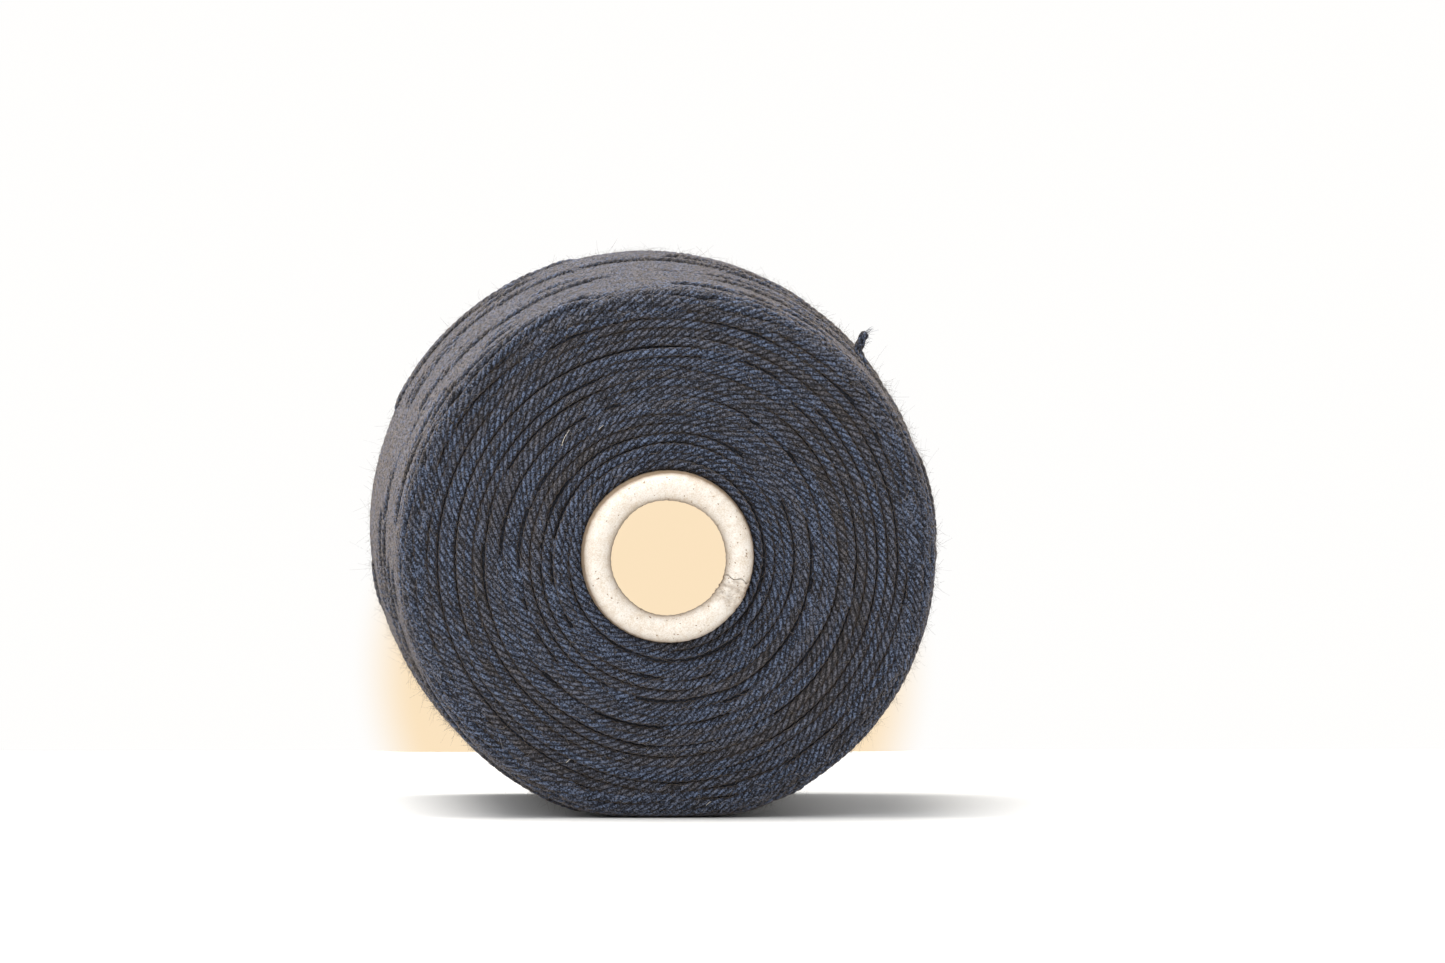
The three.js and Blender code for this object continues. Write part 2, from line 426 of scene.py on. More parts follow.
# %% Paper finishes
wrap_paper, wrap_shader = grouped_material("calendered cream paper", paper_tree, {}, 0.42, 0.4, 0.06)
set_inputs(wrap_shader, {"Specular IOR Level": 0.5})
grey = {"Light": (0.50, 0.43, 0.33, 1), "Dark": (0.34, 0.28, 0.21, 1)}
board_paper, _ = grouped_material("grey board", paper_tree, grey, 0.95, 0.5, 0.08, toned=False)
kraft = {"Light": (0.66, 0.50, 0.33, 1), "Dark": (0.46, 0.33, 0.20, 1)}
liner_paper, _ = grouped_material("kraft liner", paper_tree, kraft, 0.8, 0.4, 0.06, toned=False)
print("paper finishes:", ", ".join(m.name for m in (wrap_paper, board_paper, liner_paper)))

# %% [markdown]
# ## Meshes from arrays
# A package holds tens of thousands of short twisted stretches, so meshes are filled from
# number arrays in one go. A tube is a grid of rings with a cap at each end, which keeps
# every stretch a closed solid.

# %% A bundle of tubes
class Bundle:
    """Collects closed tubes until they become one mesh."""

    def __init__(self):
        self.points, self.quads, self.caps, self.tones, self.count = [], [], [], [], 0

    def add(self, rings, tones):
        """rings is (tubes, steps, sides, 3); tones is the same, and becomes the tone attribute."""
        index = self.count + np.arange(rings[..., 0].size).reshape(rings.shape[:3])
        here, there = index[:, :-1], index[:, 1:]
        quads = np.stack([here, np.roll(here, -1, 2), np.roll(there, -1, 2), there], axis=-1)
        self.quads.append(quads.reshape(-1, 4))
        self.caps.append(index[:, 0, ::-1])
        self.caps.append(index[:, -1])
        self.points.append(rings.reshape(-1, 3))
        self.tones.append(tones.reshape(-1, 3))
        self.count += index.size

    def triangles(self):
        return sum(2 * len(q) for q in self.quads) + sum(c.size - 2 * len(c) for c in self.caps)


# %% From arrays to a piece
def piece_from(name, points, polygons, material, tones=None):
    """A mesh object from metres and lists of equal-length polygon arrays."""
    mesh = bpy.data.meshes.new(name)
    loops = np.concatenate([p.ravel() for p in polygons]).astype(np.int32)
    sizes = np.concatenate([np.full(len(p), p.shape[1]) for p in polygons]).astype(np.int32)
    starts = np.concatenate([[0], np.cumsum(sizes)[:-1]]).astype(np.int32)
    mesh.vertices.add(len(points))
    mesh.vertices.foreach_set("co", points.astype(np.float32).ravel())
    mesh.loops.add(len(loops))
    mesh.loops.foreach_set("vertex_index", loops)
    mesh.polygons.add(len(sizes))
    mesh.polygons.foreach_set("loop_start", starts)
    mesh.polygons.foreach_set("loop_total", sizes)
    mesh.polygons.foreach_set("use_smooth", np.ones(len(sizes), bool))
    mesh.update(calc_edges=True)
    if tones is not None:
        tone = mesh.attributes.new("tone", "FLOAT_VECTOR", "POINT")
        tone.data.foreach_set("vector", tones.astype(np.float32).ravel())
    mesh.validate()
    mesh.materials.append(material)
    made = bpy.data.objects.new(name, mesh)
    bpy.context.collection.objects.link(made)
    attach(made, "root")
    return made


def piece_from_bundle(name, bundle, material):
    """Turns a bundle of tubes in the cone's frame into a piece on the object."""
    points = settle_on_floor(to_world(np.concatenate(bundle.points)))
    caps = {}
    for cap in bundle.caps:
        caps.setdefault(cap.shape[1], []).append(cap)
    polygons = [np.concatenate(bundle.quads)] + [np.concatenate(c) for c in caps.values()]
    made = piece_from(name, points, polygons, material, np.concatenate(bundle.tones))
    print(name, bundle.triangles(), "triangles")
    return made


# %% [markdown]
# ## Resting on the floor
# A soft package goes flat where its weight presses it. Points that would pass through the
# floor are squeezed into a thin layer on it. That is quicker than a cloth simulation, and
# keeps the strands in their order.

# %% Pressing the underside flat
SOFT_HEIGHT = 1.6 * MM
LOWEST = 0.04 * MM


def settle_on_floor(points):
    """Presses what would go through the floor into a thin flat layer on it."""
    points = points.copy()
    z = points[:, 2]
    low = z < SOFT_HEIGHT
    points[low, 2] = SOFT_HEIGHT * np.exp((z[low] - SOFT_HEIGHT) / SOFT_HEIGHT)
    points[:, 2] = np.maximum(points[:, 2], LOWEST)
    return points


# %% [markdown]
# ## The package's outline
# The yarn is laid on an outline that runs from the cone at the nose, over the nose face and
# its shoulder, along the side, and down the base face. Distance along that outline is the
# one coordinate, and the angle round the axis is the other.

# %% Outline of the package
NOSE_EXPOSED, BASE_EXPOSED = 8.0, 10.0
FACE_DOME, SHOULDER_RADIUS = 2.5, 4.5
NOSE_END_RADIUS, BASE_END_RADIUS = 55.0, 61.0
first_place, last_place = NOSE_EXPOSED, CONE_LENGTH - BASE_EXPOSED
nose_crown = first_place + FACE_DOME + SHOULDER_RADIUS
base_crown = last_place - FACE_DOME - SHOULDER_RADIUS

SHOULDER_STEPS = 12
CORE_GAP = 0.1


def shoulder(end_radius, crown, way, start, stop):
    """The rounding between a face and the side; `way` is -1 at the nose and 1 at the base."""
    return [
        (
            end_radius - SHOULDER_RADIUS * (1 - math.cos(turn)),
            crown + way * SHOULDER_RADIUS * math.sin(turn),
        )
        for turn in np.linspace(start, stop, SHOULDER_STEPS)
    ]


corners = np.array(
    [(wall_radius(first_place) + CORE_GAP, first_place)]
    + shoulder(NOSE_END_RADIUS, nose_crown, -1, math.pi / 2, 0)
    + shoulder(BASE_END_RADIUS, base_crown, 1, 0, math.pi / 2)
    + [(wall_radius(last_place) + CORE_GAP, last_place)]
)
lengths = np.concatenate([[0], np.cumsum(np.hypot(*np.diff(corners, axis=0).T))])
nose_face_end, nose_side_start = lengths[1], lengths[SHOULDER_STEPS]
base_side_end, base_face_start = lengths[SHOULDER_STEPS + 1], lengths[2 * SHOULDER_STEPS]
outline_end = lengths[-1]
print("outline", round(outline_end, 1), "mm")
print("side from", round(nose_side_start, 1), "to", round(base_side_end, 1), "mm along it")

# %% Which way is out, at each cell of the outline
ALONG_CELL = 0.25
SLOPE_CELLS = 6
along = np.arange(0, outline_end, ALONG_CELL)
outline_radius = np.interp(along, lengths, corners[:, 0])
outline_place = np.interp(along, lengths, corners[:, 1])
kernel = np.hanning(2 * SLOPE_CELLS + 1)
kernel /= kernel.sum()


def slope(values):
    """How fast `values` change along the outline, softened over the corners."""
    padded = np.pad(np.gradient(values, along), SLOPE_CELLS, mode="edge")
    return np.convolve(padded, kernel, "valid")


slope_radius, slope_place = slope(outline_radius), slope(outline_place)
steepness = np.hypot(slope_radius, slope_place)
out_radius, out_place = slope_place / steepness, -slope_radius / steepness
print(len(along), "cells along the outline")

# %% [markdown]
# ## Winding the yarn
# A winder turns the cone while a guide carries the yarn to and fro, so each pass is a slow
# helix that crosses the passes under it. The yarn is laid here in the same order. A grid
# round the package remembers how high the yarn already lies. Each new stretch rests on
# what is under it, spans the dips as a taut yarn does, and raises the grid. Whatever is
# buried in the end is never turned into mesh.

# %% The grid and the rule for laying a stretch
ROUND_CELLS = 720
CELL_ANGLE = 2 * math.pi / ROUND_CELLS
YARN_RADIUS = 1.06
TOUCH_HALF_WIDTH, TOUCH_HALF_HEIGHT = 0.9, 0.56
DIVE_LENGTH = 12.0
bed_height = np.zeros((len(along), ROUND_CELLS))
skin_height = np.zeros((len(along), ROUND_CELLS))
laid = []


def smooth_along(values, cells):
    """A running mean with soft ends."""
    window = np.hanning(2 * cells + 3)[1:-1]
    window /= window.sum()
    return np.convolve(np.pad(values, cells, mode="edge"), window, "valid")


def running_max(values, cells):
    """The highest value within some cells to either side."""
    padded = np.pad(values, cells, mode="edge")
    return np.max([padded[i : i + len(values)] for i in range(2 * cells + 1)], axis=0)


def rows_across(where, half_width):
    """Grid rows under a strand, and how far each lies from its middle."""
    reach = int(half_width / ALONG_CELL)
    across = np.arange(-reach, reach + 1) * ALONG_CELL
    rows = np.rint((where[None] + across[:, None]) / ALONG_CELL).astype(int)
    return np.clip(rows, 0, len(along) - 1), across[:, None]


def lay(cells, where, span, dive=0.0, kind="side"):
    """Lays one stretch: consecutive round cells, and the distance along the outline."""
    column = cells % ROUND_CELLS
    rows, across = rows_across(where, TOUCH_HALF_WIDTH)
    cushion = TOUCH_HALF_HEIGHT * np.sqrt(1 - (across / TOUCH_HALF_WIDTH) ** 2)
    columns = np.broadcast_to(column, rows.shape)
    rest = (bed_height[rows, columns] + cushion).max(axis=0)
    centre = smooth_along(running_max(rest, span // 2), span)
    if dive:
        ends = np.minimum(np.arange(len(cells)), np.arange(len(cells))[::-1])
        radius = np.interp(where, along, outline_radius)
        far = np.clip(ends * radius * CELL_ANGLE / DIVE_LENGTH, 0, 1)
        centre = centre - dive * (1 - far * far * (3 - 2 * far))
    np.maximum.at(bed_height, (rows, columns), centre[None] + cushion)
    rows, across = rows_across(where, YARN_RADIUS)
    columns = np.broadcast_to(column, rows.shape)
    np.maximum.at(skin_height, (rows, columns), centre[None] + np.sqrt(YARN_RADIUS**2 - across**2))
    laid.append({"cells": cells, "where": where, "centre": centre, "kind": kind})


print("grid of", bed_height.shape, "cells round the package")

# %% [markdown]
# ## The end faces
# An end face shows where the passes turn back: long arcs, nearly rings, each a little
# further out than the last and each ending under its neighbour. Perfect rings would look
# machined. A spiral whose arcs wander, lean and dive under gives the real, uneven look.

# %% The end faces: long arcs, each a turn of an earlier layer
STRAND_PITCH = 1.92
FACE_WANDER, FACE_LEAN = 1.4, 0.8
WANDER_CELLS = 60
BED_SPAN, ARC_SPAN = 20, 26
ARC_DEGREES, LAP_DEGREES = (150, 430), (14, 30)
ARC_DIVE = 1.9
FACE_START, FACE_OVERLAP = 0.9, 1.5


def face_stretch(start, stop, first, direction, shift, lean, span, dive, kind):
    """One arc of a spiral that opens by a strand's pitch each turn, from angle to angle."""
    cells = np.arange(int(start / CELL_ANGLE), int(stop / CELL_ANGLE))
    angle = cells * CELL_ANGLE
    away = np.clip((angle - 2 * math.pi) / (2 * math.pi), 0, 1)
    wander = smooth_along(rng.normal(0, 1, len(cells)), WANDER_CELLS) * FACE_WANDER
    spiral = STRAND_PITCH * np.maximum(angle - 2 * math.pi, 0) / (2 * math.pi)
    where = first + direction * (spiral + away * (shift + wander))
    where = where + direction * away * FACE_LEAN * np.sin(angle - lean)
    lay(cells, where, span=span, dive=dive, kind=kind)


def wind_face(first, width, direction, kind):
    """A bed of turns, and over it long arcs whose ends dive into the package."""
    turns = width / STRAND_PITCH + 1
    face_stretch(0, 2 * math.pi * turns, first, direction, 0.9, 0.5, BED_SPAN, 0, kind)
    angle, lean = 0.2, rng.uniform(0, 2 * math.pi)
    while angle < 2 * math.pi * turns:
        stop = min(angle + math.radians(rng.uniform(*ARC_DEGREES)), 2 * math.pi * (turns + 0.3))
        lap = math.radians(rng.uniform(*LAP_DEGREES))
        lean += rng.normal(0, 0.25)
        shift = rng.normal(0, 0.25)
        start = max(0.1, angle - lap)
        face_stretch(start, stop + lap, first, direction, shift, lean, ARC_SPAN, ARC_DIVE, kind)
        angle = stop


wind_face(FACE_START, nose_face_end + FACE_OVERLAP, 1, "nose_face")
wind_face(outline_end - FACE_START, outline_end - base_face_start + FACE_OVERLAP, -1, "base_face")
print("arcs on the end faces:", len(laid))

# %% [markdown]
# ## The side
# The side is made of crossing helices. Each pass takes about three turns from one end to the
# other, and turns back in a soft curve at a slightly different place each time. There are
# enough passes that every spot is covered several times over, as in a real package.

# %% The side: passes to and fro
PASSES = 140
PASS_TURNS = 2.9
TURN_ROUND = 55
END_MARGIN = 0.5
SIDE_WANDER, SIDE_SPAN = 1.6, 10
PASS_OVERLAP = 12
TURNS_SPREAD, END_SPREAD = (0.95, 1.05), (-3.5, 2.5)
near_end, far_end = nose_face_end + END_MARGIN, base_face_start - END_MARGIN
knots_angle, knots_along = [0.0], [near_end + 3]
for number in range(1, PASSES + 1):
    target = far_end if number % 2 else near_end
    towards = -1 if number % 2 else 1
    knots_angle.append(knots_angle[-1] + 2 * math.pi * PASS_TURNS * rng.uniform(*TURNS_SPREAD))
    knots_along.append(target + towards * rng.uniform(*END_SPREAD))
all_cells = np.arange(int(knots_angle[-1] / CELL_ANGLE))
path_along = np.interp(all_cells * CELL_ANGLE, knots_angle, knots_along)
path_along = smooth_along(path_along, TURN_ROUND)
path_along += smooth_along(rng.normal(0, 1, len(all_cells)), WANDER_CELLS) * SIDE_WANDER
pass_cells = np.array(knots_angle) / CELL_ANGLE
for start, end in zip(pass_cells[:-1].astype(int), pass_cells[1:].astype(int)):
    chunk = slice(start, min(end + PASS_OVERLAP, len(all_cells)))
    lay(all_cells[chunk], path_along[chunk], span=SIDE_SPAN)
print("side passes:", PASSES)

# %% [markdown]
# ## What still shows
# Most of the yarn ends up buried, and meshing it would cost millions of faces that nobody
# sees. So each strand is kept only where part of its width is near the top. It goes on a few
# cells out of sight and sinks there, so that no cut end shows between its neighbours.

# %% Soften the relief and find what still shows
RELIEF = {"nose_face": 0.55, "base_face": 0.55, "side": 0.4}
HIDDEN_CELLS = {"nose_face": 3, "base_face": 3, "side": 8}
SINK_CELLS = {"nose_face": 5, "base_face": 5, "side": 8}
SINK_DEPTH = {"nose_face": 0.8, "base_face": 0.8, "side": 1.25}
LEVEL_PERCENT, LEVEL_CELLS = 92, 20
WIDTH_SHARES = (-0.8, -0.45, 0.0, 0.45, 0.8)
BURIED = 0.05
level = smooth_along(np.percentile(skin_height, LEVEL_PERCENT, axis=1), LEVEL_CELLS)


def soften(tops, where, relief):
    """Squeezes heights towards the package's outline; the order of layers stays."""
    over = tops - np.interp(where, along, level)
    return relief * np.tanh(over / relief)


def showing(stretch):
    """True where some of the yarn's width is not buried by later yarn."""
    column = stretch["cells"] % ROUND_CELLS
    seen = np.zeros(len(column), bool)
    for share in WIDTH_SHARES:
        shift = share * YARN_RADIUS
        rows = np.rint((stretch["where"] + shift) / ALONG_CELL).astype(int)
        rows = np.clip(rows, 0, len(along) - 1)
        top = stretch["centre"] + math.sqrt(YARN_RADIUS**2 - shift**2)
        seen |= skin_height[rows, column] - top < BURIED
    return running_max(seen.astype(float), HIDDEN_CELLS[stretch["kind"]]) > 0


print("skin", round(level.min(), 2), "to", round(level.max(), 2), "mm thick")

# %% [markdown]
# ## Four plies, twisted
# The yarn is four plies with an S twist. Its section is a clover of sixteen or twelve points
# that turns as it goes, so the valleys between the plies are real grooves. Tones are drawn
# ply by ply, because heather wool changes along each ply before it is twisted.

# %% Section and slow changes
TWIST_LENGTH = 7.3
STEP = 0.55
PLIES = 4
VALLEY_RADIUS, CREST_RISE, CREST_SHAPE = 0.62, 0.38, 0.6


def clover(sides):
    """Angles, radii and valley depth of a four-ply section."""
    each = sides // PLIES
    within = np.arange(each) / each
    turn = (np.arange(PLIES)[:, None] + within[None]).ravel() / PLIES * 2 * math.pi
    crest = np.abs(np.sin(np.tile(within, PLIES) * math.pi)) ** CREST_SHAPE
    return turn, VALLEY_RADIUS + CREST_RISE * crest, crest


def slow_noise(length, spacing):
    """Smooth random numbers from 0 to 1, one for each step, with this spacing in steps."""
    knots = rng.uniform(0, 1, int(length / spacing) + 3)
    return np.interp(np.arange(length) / spacing, np.arange(len(knots)), knots)


# %% Tone, thickness and twist along the yarn
TONE_STEPS = 200000
ply_light = [
    0.4 * slow_noise(TONE_STEPS, 1.6) + 0.3 * slow_noise(TONE_STEPS, 6) + 0.3 * slow_noise(TONE_STEPS, 30)
    for _ in range(PLIES)
]
shared_brown = 0.5 * slow_noise(TONE_STEPS, 45) + 0.5 * slow_noise(TONE_STEPS, 180)
ply_brown = [0.3 * slow_noise(TONE_STEPS, 8) + 0.7 * shared_brown for _ in range(PLIES)]
thickness = 1 + 0.12 * (slow_noise(TONE_STEPS, 14) - 0.5)
twist_rate = 1 + 0.5 * (slow_noise(TONE_STEPS, 60) - 0.5)
twist_turns = np.cumsum(STEP / TWIST_LENGTH * twist_rate)
print("tone drawn for", round(TONE_STEPS * STEP / 1000), "m of yarn")

# %% Twisting the plies round a line
ACROSS_SHARE = 0.95
GIRTH_NOISE = 0.03
LIGHT_SPREAD, LIGHT_MIDDLE = 0.8, 0.33
BROWN_SPREAD, BROWN_MIDDLE = 2.4, 0.32
# Painted shade on the strand's flanks and underside: where the section turns away from the outside, z
# falls and the colour darkens.
FLANK_SHADE_EDGE, FLANK_SHADE_SLOPE = -0.12, 1.22


def interp_points(at, known, points):
    """Points read between the known ones, coordinate by coordinate."""
    return np.stack([np.interp(at, known, points[:, k]) for k in range(3)], axis=1)


def twist_yarn(bundle, centre, outward, begin, sides, radius=YARN_RADIUS, shrink=None):
    """Adds a plied tube along `centre`, whose outward side faces `outward`."""
    run = np.concatenate([[0], np.cumsum(np.linalg.norm(np.diff(centre, axis=0), axis=1))])
    count = max(3, int(run[-1] / STEP) + 1)
    at = np.linspace(0, run[-1], count)
    line, face = interp_points(at, run, centre), interp_points(at, run, outward)
    tangent = unit(np.gradient(line, axis=0))
    face = unit(face - tangent * (face * tangent).sum(axis=1)[:, None])
    side = np.cross(tangent, face)
    turn, reach, crest = clover(sides)
    steps = (begin + np.arange(count)) % TONE_STEPS
    angle = turn[None] - 2 * math.pi * twist_turns[steps][:, None]
    girth = radius * thickness[steps][:, None] * reach[None]
    girth = girth * rng.normal(1, GIRTH_NOISE, girth.shape)
    if shrink is not None:
        girth = girth * np.interp(at / run[-1], *shrink)[:, None]
    rings = line[:, None] + girth[..., None] * (
        np.cos(angle)[..., None] * face[:, None] + np.sin(angle)[..., None] * side[:, None] * ACROSS_SHARE
    )
    ply_of_side = np.arange(sides) // (sides // PLIES)
    light = np.stack([ply_light[k][steps] for k in range(PLIES)], axis=1)[:, ply_of_side]
    brown = np.stack([ply_brown[k][steps] for k in range(PLIES)], axis=1)[:, ply_of_side]
    # The third tone, z, is painted shade: low in the valleys between plies and on the flanks that turn
    # away from the outside.
    tones = np.stack(
        [
            np.clip((light - 0.5) * LIGHT_SPREAD + LIGHT_MIDDLE, 0, 1),
            np.clip((brown - 0.5) * BROWN_SPREAD + BROWN_MIDDLE, 0, 1),
            crest * np.clip(FLANK_SHADE_EDGE + FLANK_SHADE_SLOPE * np.cos(angle), 0.0, 1),
        ],
        axis=-1,
    )
    bundle.add(rings[None], tones[None])
    return line, face, tangent, count


# %% [markdown]
# ## Meshing the package
# Every visible run of yarn follows the outline at its own height and is twisted along it. The
# runs are gathered into a few pieces of limited size, which keeps each one quick to handle.

# %% Turn what shows into mesh
MOST_TRIANGLES = 145000
SHORTEST_RUN = 8
LIFT_CELLS = 3
SIDES = {"nose_face": 16, "base_face": 12, "side": 12}
surface_points, surface_out, surface_run = [], [], []
pieces = []
begin = 0


def close_bundle(kind, bundle):
    """Makes a piece of the bundle, if it holds anything."""
    if not bundle.points:
        return
    label = f"winding_{kind}"
    number = 1 + sum(p.name.startswith(label) for p in pieces)
    made = piece_from_bundle(f"{label}_{number}", bundle, wool)
    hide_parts("yarn_winding")
    pieces.append(made)


for kind in ("nose_face", "side", "base_face"):
    bundle = Bundle()
    for stretch in (x for x in laid if x["kind"] == kind):
        seen = showing(stretch)
        edges = np.flatnonzero(np.diff(np.concatenate([[0], seen.astype(int), [0]])))
        for start, end in zip(edges[::2], edges[1::2]):
            if end - start < SHORTEST_RUN:
                continue
            cells, where = stretch["cells"][start:end], stretch["where"][start:end]
            tops = stretch["centre"][start:end] + YARN_RADIUS
            lift = smooth_along(soften(tops, where, RELIEF[kind]) - YARN_RADIUS, LIFT_CELLS)
            from_end = np.minimum(np.arange(end - start), np.arange(end - start)[::-1])
            lift -= SINK_DEPTH[kind] * (1 - np.clip(from_end / SINK_CELLS[kind], 0, 1))
            angle = cells * CELL_ANGLE
            radius = np.interp(where, along, outline_radius)
            place = np.interp(where, along, outline_place)
            away, back = np.interp(where, along, out_radius), np.interp(where, along, out_place)
            radius, place = radius + away * lift, place + back * lift
            centre = round_points(radius, place, angle)
            outward = round_points(away, back, angle)
            line, face, tangent, count = twist_yarn(bundle, centre, outward, begin, SIDES[kind])
            begin += count
            surface_points.append(line)
            surface_out.append(face)
            surface_run.append(tangent)
            if bundle.triangles() > MOST_TRIANGLES:
                close_bundle(kind, bundle)
                bundle = Bundle()
    close_bundle(kind, bundle)
print("yarn meshed", round(begin * STEP / 1000, 1), "m in", len(pieces), "pieces")

# %% [markdown]
# ## Under the top layers
# Between the top strands one can see a little way into the package. A dark inner layer
# closes it there, so that no light comes through from the hollow middle. Its dark colour is
# painted shade, standing for deeper yarn in the shadow of the strands over it.

# %% The inner layer
INNER_DEPTH = 1.7
ROUND_STEPS = 180
# Painted shade: the whole inner layer gets a dim tone with almost full valley shade.
INNER_SHADE_TONE = (0.15, 0.3, 0.1)


def turned_solid(outline, steps=ROUND_STEPS):
    """A closed ring: an outline of (radius, place) points carried round the axis."""
    angle = np.arange(steps) / steps * 2 * math.pi
    ring = np.array(outline)
    points = round_points(ring[None, :, 0], ring[None, :, 1], angle[:, None])
    index = np.arange(steps * len(ring)).reshape(steps, len(ring))
    beside = np.roll(index, -1, 0)
    quads = np.stack([index, beside, np.roll(beside, -1, 1), np.roll(index, -1, 1)], axis=-1)
    return points.reshape(-1, 3), quads.reshape(-1, 4)


thin = slice(0, len(along), 5)
inner = [
    (r - INNER_DEPTH * a, p - INNER_DEPTH * b)
    for r, p, a, b in zip(outline_radius[thin], outline_place[thin], out_radius[thin], out_place[thin])
]
on_core = [(wall_radius(place) + CORE_GAP, place) for place in (inner[-1][1], inner[0][1])]
points, quads = turned_solid((on_core + inner)[::-1])
tones = np.tile(INNER_SHADE_TONE, (len(points), 1))
under = piece_from("winding_under_layer", settle_on_floor(to_world(points)), [quads], wool, tones)
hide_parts("yarn_winding")
print("inner layer", INNER_DEPTH, "mm down,", len(quads), "faces")

# %% [markdown]
# ## The paper cone
# The cone is four plies of paper, pasted, with the nose rolled in over itself. The wrap is
# the only one that shows in front. Its two edges meet in a ragged seam, and next to it the
# rolled nose is scuffed and lifted. Each ply is two lines, its outside and its inside,
# carried round the axis; the wrap's grid is open at the seam and closed by strips.

# %% Plies of the cone
BEAD_TURN = math.radians(225)
PLY_THICKNESS, GLUE_LINE = 0.55, 0.05
SEAM_ANGLE, SCUFF_ANGLE = math.radians(-17), math.radians(-29)
SCUFF_WIDTH, SCUFF_REACH, SCUFF_HEIGHT = 0.22, 5, 0.85
ROLL_STEPS, WALL_STEPS = 26, 60


def ply_line(inset):
    """From the rolled-in edge, round the nose, to the base rim, as (radius, place)."""
    arm = BEAD_RADIUS - inset
    turn = -CONE_HALF_ANGLE - np.linspace(BEAD_TURN, 0, ROLL_STEPS)
    roll = np.stack(
        [NOSE_RADIUS - BEAD_RADIUS + arm * np.cos(turn), BEAD_RADIUS + arm * np.sin(turn)], axis=1
    )
    share = np.linspace(0, 1, WALL_STEPS)[1:] ** 1.6
    place = roll[-1, 1] + share * (CONE_LENGTH - roll[-1, 1])
    wall = np.stack([[wall_radius(p, inset) for p in place], place], axis=1)
    return np.concatenate([roll, wall])


def ripple(angle, place, seed):
    """Unevenness of rolled paper, in millimetres: pleats at the nose, waves further in."""
    near = np.exp(-np.maximum(place, 0) / 9)
    pleats = 0.035 * np.sin(61 * angle + seed) + 0.03 * np.sin(37 * angle + 2 * seed)
    waves = 0.10 * np.sin(5 * angle + seed) + 0.07 * np.sin(3 * angle - seed)
    return near * (pleats + waves)


def scuff(angle, place):
    """Torn and lifted paper beside the seam, only on the rolled nose."""
    from_seam = (angle - SCUFF_ANGLE + math.pi) % (2 * math.pi) - math.pi
    strength = np.exp(-((from_seam / SCUFF_WIDTH) ** 2) - np.maximum(place, 0) / SCUFF_REACH)
    rough = np.zeros(angle.shape)
    for spot in np.argwhere(strength > 0.02):
        a, p = angle[tuple(spot)], place[tuple(spot)]
        coarse = noise.noise(Vector((a * 22, p * 1.2, 0.5)))
        rough[tuple(spot)] = coarse + 0.8 * noise.noise(Vector((a * 60, p * 3.5, 3.5)))
    return strength * rough


# %% One ply, from its two lines
def ply(name, number, material, around, seam=None):
    """One ply as a closed solid; `seam` gives half the gap at each point of the line."""
    inset = number * (PLY_THICKNESS + GLUE_LINE)
    lines = [ply_line(inset), ply_line(inset + PLY_THICKNESS)]
    turns = around + (0 if seam is None else 1)
    share = np.arange(turns) / around
    sheets, tones = [], []
    for line in lines:
        radius, place = (np.broadcast_to(line[None, :, k], (turns, len(line))) for k in range(2))
        if seam is None:
            angle = np.broadcast_to(share[:, None] * 2 * math.pi, radius.shape)
        else:
            half = seam / radius[0]
            seam_at = SEAM_ANGLE + 0.02 * np.sin(np.arange(len(half)) * 0.8)
            angle = (seam_at + half)[None] + share[:, None] * (2 * math.pi - 2 * half[None])
        scuffed = scuff(angle, place)
        bump = ripple(angle, place, 0.9) + SCUFF_HEIGHT * scuffed
        core = np.array([NOSE_RADIUS - BEAD_RADIUS, BEAD_RADIUS])
        out = unit(np.stack([radius[0] - core[0], np.minimum(place[0] - core[1], 0)], axis=1))
        radius, place = radius + bump * out[None, :, 0], place + bump * out[None, :, 1]
        sheets.append(round_points(radius, place, angle))
        # Painted shade mask: x is 1 where the bead and wall turn to the side and 0 on the front of the
        # nose.
        turned_side_shade = np.broadcast_to(np.clip(1 + out[None, :, 1], 0, 1), angle.shape)
        torn = np.clip(2.0 * np.abs(scuffed) - 0.35, 0, 0.4)
        tones.append(np.stack([turned_side_shade, torn, torn], axis=-1))
    points = np.stack(sheets)
    index = np.arange(points[..., 0].size).reshape(points.shape[:3])
    near, far = index[:, :-1], index[:, 1:]
    if seam is None:
        near, far = index, np.roll(index, -1, 1)

    def strip(a, b, c, d):
        return np.stack([a, b, c, d], axis=-1).reshape(-1, 4)

    quads = [
        strip(near[0, :, :-1], near[0, :, 1:], far[0, :, 1:], far[0, :, :-1]),
        strip(near[1, :, :-1], far[1, :, :-1], far[1, :, 1:], near[1, :, 1:]),
        strip(near[0, :, 0], far[0, :, 0], far[1, :, 0], near[1, :, 0]),
        strip(near[0, :, -1], near[1, :, -1], far[1, :, -1], far[0, :, -1]),
    ]
    if seam is not None:
        quads.append(strip(index[0, 0, :-1], index[1, 0, :-1], index[1, 0, 1:], index[0, 0, 1:]))
        quads.append(strip(index[0, -1, :-1], index[0, -1, 1:], index[1, -1, 1:], index[1, -1, :-1]))
    tones = np.stack(tones).reshape(-1, 3)
    made = piece_from(name, to_world(points.reshape(-1, 3)), quads, material, tones)
    print(name, len(made.data.polygons), "faces,", len(lines[0]), "points along its line")
    return made


